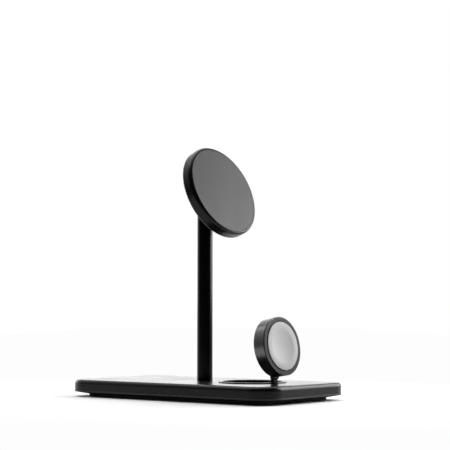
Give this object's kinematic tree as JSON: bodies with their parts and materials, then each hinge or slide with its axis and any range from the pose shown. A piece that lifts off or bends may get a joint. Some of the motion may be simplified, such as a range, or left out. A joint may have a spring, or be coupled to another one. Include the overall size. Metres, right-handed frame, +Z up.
{
  "type": "three in one wireless charger",
  "caption": "Charging stand for a phone, a watch and earbuds: a flat rounded slab on a soft foot, a round post with a tilting phone pad, and a folding watch puck.",
  "frame": {"origin": "on the table under the middle of the slab", "axes": "+Z up; the slab's length along Y with the charging faces looking to -Y and the inlet at +Y; X across"},
  "size_m": [0.082, 0.158, 0.1534],
  "materials": {
    "shell": "fine satin black moulding",
    "cover": "matt black coat",
    "foot": "matt black silicone",
    "post": "satin black coat",
    "hinge": "satin black coat",
    "pad": "soft matt dark grey",
    "head": "satin black moulding",
    "puck": "dark grey satin coat",
    "bezel": "matt dark grey moulding",
    "dish": "smooth silver grey",
    "steel": "plain",
    "board": "green circuit board",
    "copper": "wound copper wire",
    "ferrite": "dull grey sheet",
    "magnet": "nickel plated",
    "inner": "plain black moulding",
    "lead": "black jacket"
  },
  "bodies": {
    "base": {"base_top_shell": "shell", "base_bottom_cover": "cover", "foot_pad": "foot", "cover_screws": "steel", "ballast_plate": "steel", "main_board": "board", "board_connector": "inner", "usb_c_socket": "steel", "earbud_coil": "copper", "earbud_ferrite": "ferrite", "well_ring": "shell", "well_cup": "shell", "watch_fork": "hinge", "fork_screws": "steel", "watch_hinge_pin": "steel", "post_flange": "steel", "post_screws": "steel", "post_tube": "post", "post_cable": "lead", "post_fork": "hinge", "head_hinge_pin": "steel", "friction_washers": "steel"},
    "phone_head": {"head_rear_shell": "head", "head_front_pad": "pad", "head_coil_tray": "inner", "head_magnets": "magnet", "head_coil": "copper", "head_ferrite": "ferrite", "head_board": "board", "head_hinge_lug": "hinge", "lug_screws": "steel"},
    "watch_puck": {"puck_housing": "puck", "puck_bezel": "bezel", "puck_dish": "dish", "puck_coil": "copper", "puck_magnet": "magnet", "puck_ferrite": "ferrite", "puck_board": "board"}
  },
  "joints": [
    {"name": "head_tilt", "type": "hinge", "parent": "base", "child": "phone_head", "pos_m": [0, 0, 0.1209], "axis": [-1, 0, 0], "range_deg": [-20.9, 60]},
    {"name": "watch_fold", "type": "hinge", "parent": "base", "child": "watch_puck", "pos_m": [0, -0.05335, 0.01415], "axis": [-1, 0, 0], "range_deg": [0, 80.5]}
  ]
}
